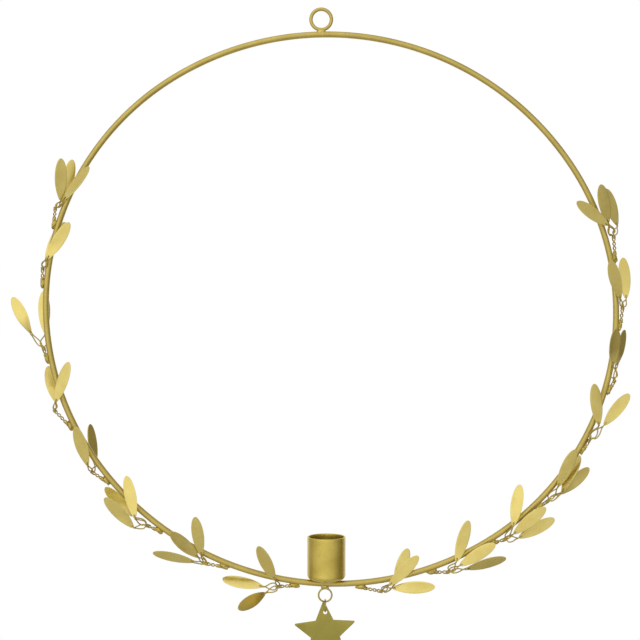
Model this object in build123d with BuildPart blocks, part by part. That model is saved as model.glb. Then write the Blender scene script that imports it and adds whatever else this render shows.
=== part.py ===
from build123d import *

import os
from collections import namedtuple
from math import asin, atan2, cos, degrees, hypot, radians, sin, sqrt

# Candle ring: an oval wire hoop with a candle cup, leaf sprigs on twisted wire stems and a hanging star.
# Millimetres. Seen from the front, X runs to the right, Z up and Y away from the viewer.
# The origin is the point in the hanging loop that bears on a hook.

os.makedirs("parts", exist_ok=True)

# Hoop
HOOP_WIRE = 4.0
HOOP_LONG = 374.0  # the oval's centreline, along its long axis
HOOP_SHORT = 359.2  # and across it
HOOP_DIP = 12.0  # degrees by which the long axis dips to the right
HOOP_SHIFT = 6.4  # the hoop's centre lies this far to the right of the hanging loop

# Pieces brazed to the hoop
BRAZE_GAP = 0.9  # thickness of braze between the hoop and the cup, and the hoop and the pendant ring
LOOP_GAP = 0.15  # and between the hoop and the hanging loop, which all but touches it
LOOP_INNER = 11.4
LOOP_WIRE = 2.0
LOOP_BRAZE_WIDTH = 8.0
LOOP_BRAZE_TOP = 4.6
LOOP_BRAZE_CLIMB = 1.7  # how far the braze climbs up the loop
LOOP_BRAZE_THICK = 2.6
CUP_SHIFT = 3.4
CUP_BORE = 23.2
CUP_WALL = 1.0
CUP_FLOOR = 1.0
CUP_HEIGHT = 28.0
CUP_CORNER = 3.0  # outer radius between the floor and the wall
SADDLE_LENGTH = 13.0
SADDLE_WIDTH = 6.4
SADDLE_DRAFT = 20.0

# Rings and star under the hoop
PENDANT_SHIFT = 2.6
RING_WIRE = 0.9
PENDANT_RING = 9.3  # outer diameter
PENDANT_BRAZE_WIDTH = 5.2
PENDANT_BRAZE_END = 3.2
PENDANT_BRAZE_CLIMB = 1.0
PENDANT_BRAZE_THICK = 1.5
STAR_ARMS = 5
STAR_REACH = 21.6  # centre to the corner of an arm, before it is rounded
STAR_WAIST = 10.0  # centre to an inner corner
STAR_TIP_RADIUS = 0.8
STAR_SHEET = 0.8
STAR_LEAN = 3.0
STAR_HOLE = 2.6
STAR_HOLE_OUT = 13.4  # centre to the hole
LINK_ROOM = 0.75  # play of the star's tip inside the link ring
HANG_GAP = 0.15  # between wires that hang on each other
SWING_GAP = 0.3  # between the star's tip and the pendant ring behind it

# Sprigs
STEM_STAND = 1.0  # from the hoop's surface to a stem's axis
FOOT_RADIUS = 2.1  # the braze lump round a stem's end
FOOT_BACK = 0.8  # how far it runs on behind that end
FOOT_AHEAD = 3.0  # and along the stem
FOOT_NECK = 1.4  # its radius there
STEM_WIRE = 0.72
TWIST_RADIUS = 0.74  # from the stem's axis to the middle of each wire
TWIST_PITCH = 6.0
TWIST_STEPS = 8  # straight steps in one turn
WIRE_SIDES = 6
KNOT_RADIUS = 1.3  # the wrapped lump where a stem forks
KNOT_END = 1.0
KNOT_LENGTH = 2.6
KNOT_SIDES = 8
STALK_SPREAD = 0.42  # half the distance between a hairpin's two legs at the knot
STALK_STRAIGHT = 0.8  # how far the legs run on straight past the leaf's base
LEAF_LENGTH = 27.5
LEAF_WIDTH = 7.9
LEAF_BASE = 1.9  # width of the blunt base
LEAF_BROADEST = 15.0  # from the base to the broadest place
LEAF_SHEET = 0.5
LEAF_HOLE = 1.1
LEAF_HOLE_IN = 1.5  # from the base to the hole
THREAD_GAP = 0.12  # between a leaf and the wire threaded through it

# A sprig's foot is an angle round the hoop. Every angle in the front view is counted from the right,
# counter-clockwise, and holds for a round hoop: on the oval a sprig turns with the wire at its foot.
# A stalk reaches from the knot to the leaf's base, and front is how far that base lies before the hoop's
# wire, or behind it where it is negative, or 0 beside it. The leaf then aims its own way, tilts its tip
# towards the viewer and turns about its length.
Sprig = namedtuple("Sprig", "name foot aim length leaves")
Leaf = namedtuple("Leaf", "stalk reach front aim tilt turn")

SPRIGS = [
    Sprig("left_1", 163, 84.4, 10.6, [
        Leaf(58.4, 6.5, 0, 85.4, 20, 12),
        Leaf(52.4, 7.6, -1.5, 79.4, -8, 8),
        Leaf(40.4, 8.6, 2.4, 50.4, 14, -28),
    ]),
    Sprig("left_2", 175, 87.5, 10, [
        Leaf(57.5, 7.7, 2.2, 57.5, 2, -10),
        Leaf(77.5, 7, -2, 64.5, -14, -6),
    ]),
    Sprig("left_3", 190, 104.4, 7.2, [
        Leaf(127.4, 13.6, 0, 118.4, -12, -28),
        Leaf(88.4, 10.6, -2, 91.4, -4, 0),
    ]),
    Sprig("left_4", 204.2, 131.5, 14.6, [
        Leaf(89.5, 6.1, -2, 107.5, -32, 0),
        Leaf(73.5, 6.2, 2.2, 68.5, 4, -10),
    ]),
    Sprig("left_5", 217.5, 143.6, 11.2, [
        Leaf(112.6, 5.6, 2, 101.6, 16, -8),
        Leaf(69.6, 4.2, -2.4, 96.6, -10, 55),
    ]),
    Sprig("left_6", 232.3, 153.4, 8.4, [
        Leaf(180.4, 9.3, 1, 129.4, 16, 10),
        Leaf(148.4, 12.1, -1.5, 136.4, -18, 20),
        Leaf(138.4, 10, 4.4, 101.4, -10, -6),
    ]),
    Sprig("left_7", 247.6, 168.3, 12.1, [
        Leaf(136.3, 7.6, 2, 131.3, 28, 0),
        Leaf(171.3, 8.5, 0, 164.3, 12, -34),
        Leaf(114.3, 7.4, 2.4, 96.3, 20, -6),
    ]),
    Sprig("left_8", 262.6, 183.3, 9.9, [
        Leaf(122.3, 6.4, 2.2, 114.3, 22, 6),
        Leaf(180.3, 11.7, 0, 172.3, -14, 28),
        Leaf(202.3, 10.6, 1, 198.3, 54, 0),
    ]),
    Sprig("right_1", 276, -9.8, 14, [
        Leaf(26.2, 10.6, -2, 66.2, -36, 0),
        Leaf(48.2, 7.6, 5, 42.2, -20, -10),
        Leaf(16.2, 8.2, 0, 5.2, 12, -14),
    ]),
    Sprig("right_2", 291, 2.1, 10.4, [
        Leaf(58.1, 9.6, 2.2, 74.1, -10, -8),
        Leaf(35.1, 9.3, 1.2, 36.1, 12, -14),
        Leaf(12.1, 13, 0, 14.1, -12, 28),
    ]),
    Sprig("right_3", 304.5, 20.7, 8.3, [
        Leaf(64.7, 11.4, 3, 80.7, -16, -10),
        Leaf(38.7, 7.8, 0.6, 45.7, 16, -10),
        Leaf(10.7, 10.2, 0, 27.7, -14, -14),
    ]),
    Sprig("right_4", 316.4, 36.2, 6.5, [
        Leaf(60.2, 12.8, 2.2, 71.2, 18, 0),
        Leaf(38.2, 12, 0.8, 63.2, -18, -45),
        Leaf(32.2, 10.9, 0, 39.2, -22, 15),
    ]),
    Sprig("right_5", 330.7, 61.2, 7.4, [
        Leaf(64.2, 12.6, 2.2, 100.2, 12, 0),
        Leaf(47.2, 14.8, 0, 49.2, -14, -10),
    ]),
    Sprig("right_6", 343.7, 62.3, 7, [
        Leaf(99.3, 11.2, 2, 93.3, 32, 0),
        Leaf(82.3, 10.4, 0, 69.3, -26, 48),
    ]),
    Sprig("right_7", 356.5, 82.4, 12.2, [
        Leaf(111.4, 7.1, 2.2, 108.4, 22, -36),
        Leaf(70.4, 7.2, 0, 90.4, -14, -8),
    ]),
    Sprig("right_8", 10, 92.4, 14.4, [
        Leaf(122.4, 9.1, 3.4, 145.4, 18, 0),
        Leaf(112.4, 10.4, 0.8, 106.4, 28, 4),
        Leaf(73.4, 8.4, 0, 113.4, 26, 0),
    ]),
]

UP = Vector(0, 0, 1)
TO_VIEWER = Vector(0, -1, 0)


def front_view(angle, tilt=0):
    """Unit vector at an angle in the front view, tilted towards the viewer."""
    in_view = cos(radians(tilt))
    return Vector(cos(radians(angle)) * in_view, -sin(radians(tilt)), sin(radians(angle)) * in_view)


# The oval is four arcs that meet at 45 degrees: two tighter ends and two flatter sides
half_long = HOOP_LONG / 2
half_short = HOOP_SHORT / 2
end_radius = (half_short - (sqrt(2) - 1) * half_long) / (2 - sqrt(2))
side_radius = half_long + half_short - end_radius
end_centre = half_long - end_radius
side_centre = side_radius - half_short
long_axis = front_view(-HOOP_DIP)
short_axis = front_view(90 - HOOP_DIP)


def hoop_rise(shift, side):
    """Height of the centreline over the hoop's centre, on its upper (1) or lower (-1) side."""
    centre = short_axis * (-side * side_centre)
    return centre.Z + side * sqrt(side_radius**2 - (shift - HOOP_SHIFT - centre.X) ** 2)


loop_bottom = -LOOP_INNER - LOOP_WIRE
hoop_centre = Vector(HOOP_SHIFT, 0, loop_bottom - LOOP_GAP - HOOP_WIRE / 2 - hoop_rise(0, 1))
hoop_plane = Plane(origin=hoop_centre, x_dir=long_axis, z_dir=TO_VIEWER)


def hoop_point(angle):
    """Point of the centreline at an angle from the hoop's centre, and the outward direction there."""
    local = radians(angle + HOOP_DIP)
    ray = (cos(local), sin(local))
    corner = (end_centre + end_radius / sqrt(2), end_radius / sqrt(2))
    if abs(ray[1]) * corner[0] < abs(ray[0]) * corner[1]:
        radius = end_radius
        centre = (end_centre if ray[0] > 0 else -end_centre, 0)
    else:
        radius = side_radius
        centre = (0, -side_centre if ray[1] > 0 else side_centre)
    along = centre[0] * ray[0] + centre[1] * ray[1]
    reach = along + sqrt(along**2 + radius**2 - hypot(*centre) ** 2)
    outward = ((reach * ray[0] - centre[0]) / radius, (reach * ray[1] - centre[1]) / radius)
    point = hoop_centre + long_axis * (reach * ray[0]) + short_axis * (reach * ray[1])
    return point, long_axis * outward[0] + short_axis * outward[1]


def save(builder, name):
    """Label a finished piece and write it."""
    builder.part.label = name
    export_step(builder.part, f"parts/{name}.step")


# Hoop: one round wire along the oval
with BuildPart() as hoop:
    with BuildLine(hoop_plane) as oval:
        CenterArc((end_centre, 0), end_radius, -45, 90)
        CenterArc((0, -side_centre), side_radius, 45, 90)
        CenterArc((-end_centre, 0), end_radius, 135, 90)
        CenterArc((0, side_centre), side_radius, 225, 90)
    with BuildSketch(Plane(origin=oval.line @ 0, z_dir=oval.line % 0)):
        Circle(HOOP_WIRE / 2)
    sweep()
save(hoop, "hoop")

# Hanging loop, on the hoop's top
with BuildPart(Plane(origin=(0, 0, -LOOP_INNER / 2), z_dir=TO_VIEWER)) as hanging_loop:
    Torus((LOOP_INNER + LOOP_WIRE) / 2, LOOP_WIRE / 2)
save(hanging_loop, "hanging_loop")


def web_outline(shift, seat, tip, seat_width, tip_width):
    """Corners of a braze web in the front view, from the hoop's wire to a ring that it carries."""
    return [
        (shift - seat_width / 2, seat),
        (shift + seat_width / 2, seat),
        (shift + tip_width / 2, tip),
        (shift - tip_width / 2, tip),
    ]


# Braze that climbs the hanging loop on both sides
loop_web_seat = hoop_centre.Z + hoop_rise(0, 1)
loop_web_tip = loop_bottom + LOOP_BRAZE_CLIMB
with BuildPart() as loop_braze:
    with BuildSketch(Plane.XZ):
        with BuildLine():
            Polyline(*web_outline(0, loop_web_seat, loop_web_tip, LOOP_BRAZE_WIDTH, LOOP_BRAZE_TOP), close=True)
        make_face()
    extrude(amount=LOOP_BRAZE_THICK / 2, both=True)
    add(hoop.part, mode=Mode.SUBTRACT)
    add(hanging_loop.part, mode=Mode.SUBTRACT)
save(loop_braze, "loop_braze")

# Candle cup, standing on the hoop's bottom
cup_outer = CUP_BORE / 2 + CUP_WALL
cup_base = hoop_centre.Z + hoop_rise(CUP_SHIFT, -1) + HOOP_WIRE / 2 + BRAZE_GAP
with BuildPart(Plane(origin=(CUP_SHIFT, 0, cup_base))) as candle_cup:
    Cylinder(cup_outer, CUP_HEIGHT, align=(Align.CENTER, Align.CENTER, Align.MIN))
    fillet(candle_cup.edges().group_by(Axis.Z)[0], CUP_CORNER)
    with Locations((0, 0, CUP_FLOOR)):
        Cylinder(CUP_BORE / 2, CUP_HEIGHT, align=(Align.CENTER, Align.CENTER, Align.MIN), mode=Mode.SUBTRACT)
save(candle_cup, "candle_cup")

# Braze saddle between the cup's floor and the hoop
with BuildPart() as cup_braze:
    with BuildSketch(Plane(origin=(CUP_SHIFT, 0, cup_base), z_dir=-UP)):
        SlotOverall(SADDLE_LENGTH, SADDLE_WIDTH)
    extrude(amount=BRAZE_GAP + HOOP_WIRE / 2, taper=SADDLE_DRAFT)
    add(hoop.part, mode=Mode.SUBTRACT)
save(cup_braze, "cup_braze")

# Pendant ring under the hoop, and the braze that holds it
pendant_top = hoop_centre.Z + hoop_rise(PENDANT_SHIFT, -1) - HOOP_WIRE / 2 - BRAZE_GAP
pendant_centre = pendant_top - PENDANT_RING / 2
with BuildPart(Plane(origin=(PENDANT_SHIFT, 0, pendant_centre), z_dir=TO_VIEWER)) as pendant_ring:
    Torus((PENDANT_RING - RING_WIRE) / 2, RING_WIRE / 2)
save(pendant_ring, "pendant_ring")

pendant_web_seat = pendant_top + BRAZE_GAP + HOOP_WIRE / 2
pendant_web_tip = pendant_top - PENDANT_BRAZE_CLIMB
pendant_web = web_outline(
    PENDANT_SHIFT, pendant_web_seat, pendant_web_tip, PENDANT_BRAZE_WIDTH, PENDANT_BRAZE_END
)
with BuildPart() as pendant_braze:
    with BuildSketch(Plane.XZ):
        with BuildLine():
            Polyline(*pendant_web, close=True)
        make_face()
    extrude(amount=PENDANT_BRAZE_THICK / 2, both=True)
    add(hoop.part, mode=Mode.SUBTRACT)
    add(pendant_ring.part, mode=Mode.SUBTRACT)
save(pendant_braze, "pendant_braze")

# The star tilts a little, so that its tip passes before the pendant ring and its weight hangs under it.
# The link ring is just large enough to pass over the tip.
arm_step = 360 / STAR_ARMS
waist_side = STAR_WAIST * sin(radians(arm_step / 2))
waist_up = STAR_WAIST * cos(radians(arm_step / 2))
arm_half_angle = atan2(waist_side, STAR_REACH - waist_up)
tip_reach = STAR_REACH - STAR_TIP_RADIUS * (1 / sin(arm_half_angle) - 1)
tip_front = RING_WIRE / 2 + SWING_GAP + STAR_SHEET / 2
star_tilt = asin(tip_front / tip_reach)
hole_front = STAR_HOLE_OUT * sin(star_tilt)
link_inner = (tip_reach - STAR_HOLE_OUT - STAR_HOLE / 2 + LINK_ROOM) / 2
link_front = tip_front / 2
pendant_wire = pendant_centre - (PENDANT_RING - RING_WIRE) / 2
link_drop = sqrt((link_inner - RING_WIRE / 2 - HANG_GAP) ** 2 - link_front**2)
link_centre = Vector(PENDANT_SHIFT, -link_front, pendant_wire - link_drop)
with BuildPart(Plane(origin=link_centre, z_dir=(1, 0, 0))) as link_ring:
    Torus(link_inner + RING_WIRE / 2, RING_WIRE / 2)
save(link_ring, "link_ring")

# Star: the hole lies straight over the star's centre, so it hangs with its lean
sheet_off_link = abs(hole_front - link_front) + STAR_SHEET / 2
hole_top = link_centre.Z - sqrt(link_inner**2 - sheet_off_link**2) + HANG_GAP
star_up = Vector(0, -sin(star_tilt), cos(star_tilt))
star_centre = Vector(PENDANT_SHIFT, -hole_front, hole_top - STAR_HOLE / 2) - star_up * STAR_HOLE_OUT
star_right = Vector(1, 0, 0) * cos(radians(STAR_LEAN)) + star_up * sin(radians(STAR_LEAN))
star_plane = Plane(origin=star_centre, x_dir=star_right, z_dir=Vector(1, 0, 0).cross(star_up))
with BuildPart() as star:
    with BuildSketch(star_plane) as star_outline:
        with BuildLine():
            corners = []
            for arm in range(STAR_ARMS):
                direction = 90 + arm_step * arm
                corners.append(Vector(STAR_REACH, 0).rotate(Axis.Z, direction))
                corners.append(Vector(STAR_WAIST, 0).rotate(Axis.Z, direction + arm_step / 2))
            Polyline(*corners, close=True)
        make_face()
        fillet(star_outline.vertices().sort_by_distance((0, 0, 0))[STAR_ARMS:], STAR_TIP_RADIUS)
        with Locations(Vector(STAR_HOLE_OUT, 0).rotate(Axis.Z, 90 - STAR_LEAN)):
            Circle(STAR_HOLE / 2, mode=Mode.SUBTRACT)
    extrude(amount=STAR_SHEET / 2, both=True)
save(star, "star")

# Leaf blank: a narrow base that widens in a long curve, a round elliptical tip and the hole for its wire
with BuildSketch() as leaf_blank:
    with BuildLine():
        base_corner = (0, LEAF_BASE / 2)
        shoulder = (LEAF_BROADEST, LEAF_WIDTH / 2)
        TangentArc(shoulder, base_corner, tangent=(-1, 0))
        EllipticalCenterArc(
            (LEAF_BROADEST, 0), LEAF_LENGTH - LEAF_BROADEST, LEAF_WIDTH / 2, start_angle=0, arc_size=90
        )
        mirror(about=Plane.XZ)
        Line(base_corner, (0, -LEAF_BASE / 2))
    make_face()
    with Locations((LEAF_HOLE_IN, 0)):
        Circle(LEAF_HOLE / 2, mode=Mode.SUBTRACT)


def stem_axis(sprig):
    """Start of a sprig's stem beside the hoop, its direction, and how far the oval turns the sprig."""
    point, outward = hoop_point(sprig.foot)
    oval_turn = degrees(atan2(outward.Z, outward.X)) - sprig.foot
    start = point + outward * (HOOP_WIRE / 2 + STEM_STAND)
    return start, front_view(sprig.aim + oval_turn), oval_turn


def leaf_plane(knot, leaf, oval_turn):
    """Plane of a leaf's sheet: origin at its base, X along it, Z out of its face."""
    before_hoop = 0
    if leaf.front:
        before_hoop = leaf.front + (HOOP_WIRE / 2 if leaf.front > 0 else -HOOP_WIRE / 2)
    base = knot + front_view(leaf.stalk + oval_turn) * leaf.reach + TO_VIEWER * before_hoop
    aim = leaf.aim + oval_turn
    along = front_view(aim, leaf.tilt)
    face = front_view(aim, leaf.tilt + 90).rotate(Axis((0, 0, 0), along), leaf.turn)
    return Plane(origin=base, x_dir=along, z_dir=face)


def braze_foot(start, along):
    """Lump of braze round the end of a stem, before it is shaped to the hoop."""
    with BuildPart() as foot:
        with BuildSketch(Plane(origin=start, x_dir=along, z_dir=TO_VIEWER)):
            with BuildLine():
                Line((-FOOT_BACK - FOOT_RADIUS, 0), (FOOT_AHEAD, 0))
                Line((FOOT_AHEAD, 0), (FOOT_AHEAD, FOOT_NECK))
                Line((FOOT_AHEAD, FOOT_NECK), (-FOOT_BACK, FOOT_RADIUS))
                JernArc((-FOOT_BACK, FOOT_RADIUS), (-1, 0), FOOT_RADIUS, 90)
            make_face()
        revolve(axis=Axis(start, along))
    return foot.part


def strand(start, knot, phase):
    """One wire of a stem, wound round the stem's axis in short straight steps."""
    length = (knot - start).length
    along = (knot - start).normalized()
    turns = max(1, round(2 * length / TWIST_PITCH)) / 2
    steps = round(turns * TWIST_STEPS)
    with BuildPart() as wire:
        for step in range(steps + 1):
            turned = phase + 360 * turns * step / steps
            outward = TO_VIEWER.rotate(Axis((0, 0, 0), along), turned)
            sideways = along.cross(outward) * (radians(360 * turns) * TWIST_RADIUS / length)
            middle = start + along * (length * step / steps) + outward * TWIST_RADIUS
            with BuildSketch(Plane(origin=middle, x_dir=outward, z_dir=along + sideways)):
                RegularPolygon(STEM_WIRE / 2, WIRE_SIDES)
        loft(ruled=True)
    return wire.part


def barrel(knot, along):
    """Wrapped lump of wire where a stem forks, thickest in the middle."""
    with BuildPart() as lump:
        for place, radius in ((-0.5, KNOT_END), (0, KNOT_RADIUS), (0.5, KNOT_END)):
            with BuildSketch(Plane(origin=knot + along * (place * KNOT_LENGTH), z_dir=along)):
                RegularPolygon(radius, KNOT_SIDES)
        loft(ruled=True)
    return lump.part


def hairpin(knot, plane):
    """Wire from the knot to a leaf's base, along it to the hole, through that and back."""
    hole = plane.origin + plane.x_dir * LEAF_HOLE_IN
    below = plane.origin - plane.x_dir * STALK_STRAIGHT
    lift = plane.z_dir * (LEAF_SHEET / 2 + THREAD_GAP + STEM_WIRE / 2)
    run = (below - knot).normalized()
    spread = (plane.z_dir - run * plane.z_dir.dot(run)).normalized() * STALK_SPREAD
    with BuildPart() as wire:
        with BuildLine() as route:
            Polyline(knot + spread, below + lift, hole + lift, hole - lift, below - lift, knot - spread)
        with BuildSketch(Plane(origin=route.line @ 0, z_dir=route.line % 0)):
            RegularPolygon(STEM_WIRE / 2, WIRE_SIDES)
        sweep(transition=Transition.RIGHT)
    return wire.part


# Sprigs: a wrapped knot, two twisted wires, a braze foot shaped to the hoop, and hairpins with their leaves
for sprig in SPRIGS:
    start, along, oval_turn = stem_axis(sprig)
    knot = start + along * sprig.length
    planes = [leaf_plane(knot, leaf, oval_turn) for leaf in sprig.leaves]
    with BuildPart() as stem:
        add(barrel(knot, along))
        for phase in (0, 180):
            add(strand(start, knot, phase))
        add(braze_foot(start, along))
        for plane in planes:
            add(hairpin(knot, plane))
        add(hoop.part, mode=Mode.SUBTRACT)
    save(stem, f"sprig_{sprig.name}_stem")

    with BuildPart() as leaves:
        for plane in planes:
            with BuildSketch(plane):
                add(leaf_blank.sketch)
            extrude(amount=LEAF_SHEET / 2, both=True)
    save(leaves, f"sprig_{sprig.name}_leaves")
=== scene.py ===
from collections import namedtuple
from math import asin, atan2, cos, degrees, pi, radians, sin, sqrt, tan

import bmesh
import bpy
from mathutils import Matrix, Quaternion, Vector, noise


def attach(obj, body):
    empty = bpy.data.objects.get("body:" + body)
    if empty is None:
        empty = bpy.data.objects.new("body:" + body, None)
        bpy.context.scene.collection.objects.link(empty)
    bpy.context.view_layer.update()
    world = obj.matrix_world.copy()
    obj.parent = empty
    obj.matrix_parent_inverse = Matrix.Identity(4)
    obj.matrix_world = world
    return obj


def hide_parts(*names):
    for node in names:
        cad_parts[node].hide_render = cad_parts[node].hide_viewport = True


# Candle ring in satin brass: oval wire hoop, candle cup, leaf sprigs on twisted wire and a hanging star.
# Shapes are worked in millimetres, and each finished piece is scaled to metres.

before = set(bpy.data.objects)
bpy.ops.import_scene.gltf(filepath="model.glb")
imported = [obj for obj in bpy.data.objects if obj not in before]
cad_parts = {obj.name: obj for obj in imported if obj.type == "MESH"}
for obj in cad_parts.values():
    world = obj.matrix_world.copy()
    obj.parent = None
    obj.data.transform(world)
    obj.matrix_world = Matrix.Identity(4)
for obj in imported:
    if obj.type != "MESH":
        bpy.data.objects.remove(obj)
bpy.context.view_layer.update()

NOISE_SEED = 1
noise.seed_set(NOISE_SEED)  # without it the vector noise starts from the clock, and no two runs are alike

MM = 0.001
SHARP_EDGE = 50  # degrees between two faces from which their edge shows
RIM_ANGLE = 60  # degrees between two faces from which their edge is a sheet's rim

Drop = namedtuple("Drop", "offset size seed rough")  # of braze

# Hoop
HOOP_WIRE = 4.0
HOOP_LONG = 374.0
HOOP_SHORT = 359.2
HOOP_DIP = 12.0  # degrees by which its long axis falls to the right
HOOP_SHIFT = 6.4  # of its centre to the right of the hanging loop
HOOP_SIDES = 24
HOOP_ARC_STEPS = 64

# Hanging loop and its braze: a web that narrows upwards, and a bead on the hoop
LOOP_GAP = 0.15
LOOP_INNER = 11.4
LOOP_WIRE = 2.0
LOOP_WIRE_SEEN = 2.36  # stouter than in the solids, as in the photo
LOOP_STEPS = 72
LOOP_SIDES = 18
WEB_CLIMB = 1.7  # up the loop from its lowest point
WEB_WIDTH = 8.0
WEB_NARROWING = 3.4
WEB_THICKNESS = 2.9
WEB_THINNING = 0.8
WEB_LEAST_ROUND = 0.12  # keeps the web's outer edges from closing up
WEB_CUTS = 9
WEB_WOBBLE = 0.18
WEB_WOBBLE_SIZE = 1.6
BEAD = Drop((1.2, 0, 0), (2.6, 4.28, 4.26), 4, 0.05)

# Candle cup and its braze
BRAZE_GAP = 0.9  # from the hoop to the cup and to the pendant ring
CUP_SHIFT = 3.4
CUP_BORE = 23.2
CUP_WALL = 1.0
CUP_FLOOR = 1.0
CUP_HEIGHT = 28.0
CUP_CORNER = 3.0
CUP_INNER_CORNER = 1.4
CUP_LIP = CUP_WALL / 2
CUP_MIDDLE = 5.0  # radius of a ring of points in the floor
CUP_FLAT = 10.0  # radius of the flat floor inside
CUP_LEVELS = (0.25, 0.5, 0.75, 0.93)  # rings of points up the wall, as parts of its height
CUP_LOW_LEVEL = 0.14  # one more outside
CUP_STEPS = 128
DENT_DEPTH = 0.10
DENT_SINK = 0.06  # draws the dented wall inwards
DENT_FROM = 6.0  # radius within which the floor has none
DENT_AROUND = 1.3
DENT_HEIGHT = 14.0
CUP_DROPS = [
    Drop((0, 0, -1.0), (14.2, 6.4, 2.7), 2, 0.16),
    Drop((-2, 0, -1.3), (9, 5.4, 3.2), 6, 0.2),
]

# Pendant ring and its braze, link ring and star
PENDANT_SHIFT = 2.6
RING_WIRE = 0.9
RING_WIRE_SEEN = 1.15  # stouter to the outside only, so the rings hang as in the solids
RING_STEPS = 64
RING_SIDES = 14
PENDANT_RING = 9.3
PENDANT_DROPS = [
    Drop((-0.6, -1.0, 1.3), (4.6, 3.0, 3.4), 3, 0.12),
    Drop((0, 0, 0.2), (5.4, 2.2, 2.4), 5, 0.1),
]
STAR_ARMS = 5
STAR_REACH = 21.6
STAR_WAIST = 10.0
STAR_TIP_RADIUS = 0.8
STAR_TIP_STEPS = 6
STAR_SHEET = 0.8
STAR_EDGE = 0.16  # width of the eased edges
STAR_LEAN = 3.0
STAR_HOLE = 2.6
STAR_HOLE_OUT = 13.4
LINK_ROOM = 0.75
HANG_GAP = 0.15
SWING_GAP = 0.3

# Stems: two wires twisted about each other, wrapped at the knot, with a hairpin to each leaf
STEM_STAND = 1.0
STEM_WIRE = 0.82  # stouter than in the solids, as in the photo
STEM_SIDES = 10
STEM_WOBBLE = 0.16
STEM_WOBBLE_SIZE = 2.4
TWIST_RADIUS = 0.78
TWIST_PITCH = 6.0
WRAP_RADIUS = 0.92
WRAP_TURNS = 2.5
COIL_STEPS = 20  # to a turn
HAIRPIN_GAP = 0.08  # between the wire and the leaf
HAIRPIN_BOW = 2.4  # the most that a leg bows out
HAIRPIN_BOW_SHARE = 0.23  # of the way from the knot to the leaf
HAIRPIN_PINCH = 0.3  # of the legs to the middle, at both ends
HAIRPIN_STOP = 0.9  # below the leaf's base, where the legs lie on both its faces
HAIRPIN_BEND = (-0.7, 0.05)  # from the leaf's hole, where the wire turns through it
FOOT_SIZE = (6.6, 3.4, 3.2)  # drop of braze at the hoop
FOOT_OUT = 0.4
FOOT_SINK = 0.5
NECK_SIZE = (2.6, 2.6, 2.4)  # smaller drop that has run up the stem
NECK_OUT = 3.2
FOOT_ROUGH = 0.35

# Leaves
LEAF_LENGTH = 27.5
LEAF_WIDTH = 7.9
LEAF_BASE = 1.9
LEAF_BROADEST = 15.0
LEAF_SHEET = 0.5
LEAF_EDGE = 0.1  # width of the eased edges
LEAF_HOLE = 1.1
LEAF_HOLE_IN = 1.5
LEAF_ROWS = 30
LEAF_COLUMNS = 8
LEAF_ROW_POWER = 1.15  # sets the rows closer at the base and the tip
LEAF_BEND = 0.8  # the most that a leaf bows along or across
LEAF_FLAT = 3.0  # from the base, where it stays flat
LEAF_RIPPLE = 0.05

# A sprig's foot is an angle round the hoop. Every angle in the front view is counted from the right,
# counter-clockwise, and holds for a round hoop: on the oval a sprig turns with the wire at its foot.
# A stalk reaches from the knot to the leaf's base, and front is how far that base lies before the hoop's
# wire, or behind it where it is negative, or 0 beside it. The leaf then aims its own way, tilts its tip
# towards the viewer and turns about its length. Its blade twists a little further than its base.
Sprig = namedtuple("Sprig", "name foot aim length leaves")
Leaf = namedtuple("Leaf", "stalk reach front aim tilt turn twist")

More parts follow.
